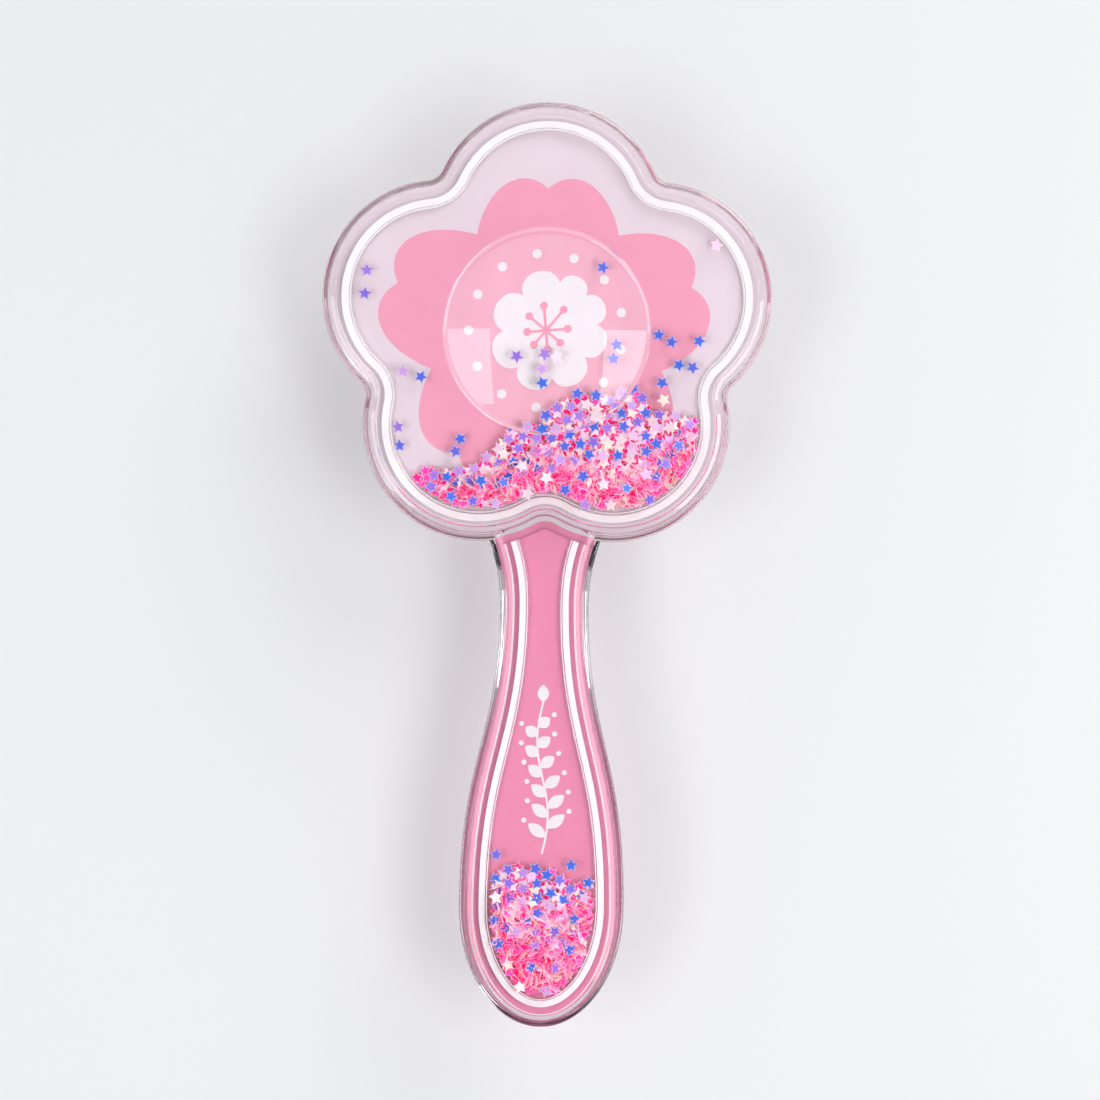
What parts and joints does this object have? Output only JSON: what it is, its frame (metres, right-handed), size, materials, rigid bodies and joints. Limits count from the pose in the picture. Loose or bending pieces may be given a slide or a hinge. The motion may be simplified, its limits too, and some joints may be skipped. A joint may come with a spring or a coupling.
{
  "type": "vanity hairbrush",
  "caption": "Clear flower-headed hairbrush with liquid-filled star-sequin chambers in head and handle, and a sprung rubber air cushion of ball-tipped pins.",
  "frame": {"origin": "on the table under the middle of the brush's box, which is on the level of the pin tips", "axes": "+Y from the handle to the tip of the head, +Z from the pins to the back of the brush, +X to the right seen from the back"},
  "size_m": [0.0946, 0.195, 0.037],
  "materials": {
    "clear_plastic": "clear, polished",
    "sequin_fill": "clear oil with iridescent star sequins",
    "plug": "translucent silicone",
    "head_print": "printed sheet, pale pink with pink blossom",
    "handle_print": "printed sheet, pink",
    "cushion_rubber": "matte pink rubber",
    "ring_plastic": "white, satin",
    "pin_nylon": "white nylon"
  },
  "bodies": {
    "brush": {"back_shell": "clear_plastic", "front_shell": "clear_plastic", "head_chamber_floor": "clear_plastic", "handle_chamber_floor": "clear_plastic", "head_card": "head_print", "handle_card": "handle_print", "head_sequin_fill": "sequin_fill", "handle_sequin_fill": "sequin_fill", "head_fill_plug": "plug", "handle_fill_plug": "plug", "cushion": "cushion_rubber", "cushion_ring": "ring_plastic"},
    "pin_bed": {"pins_centre": "pin_nylon", "pins_petal_1": "pin_nylon", "pins_petal_2": "pin_nylon", "pins_petal_3": "pin_nylon", "pins_petal_4": "pin_nylon", "pins_petal_5": "pin_nylon"}
  },
  "joints": [
    {"name": "cushion_press", "type": "slide", "parent": "brush", "child": "pin_bed", "axis": [0, 0, 1], "range_m": [0, 0.003], "stiffness_N_per_m": 1500, "springref_m": -0.0015, "deforming": ["cushion"]}
  ]
}
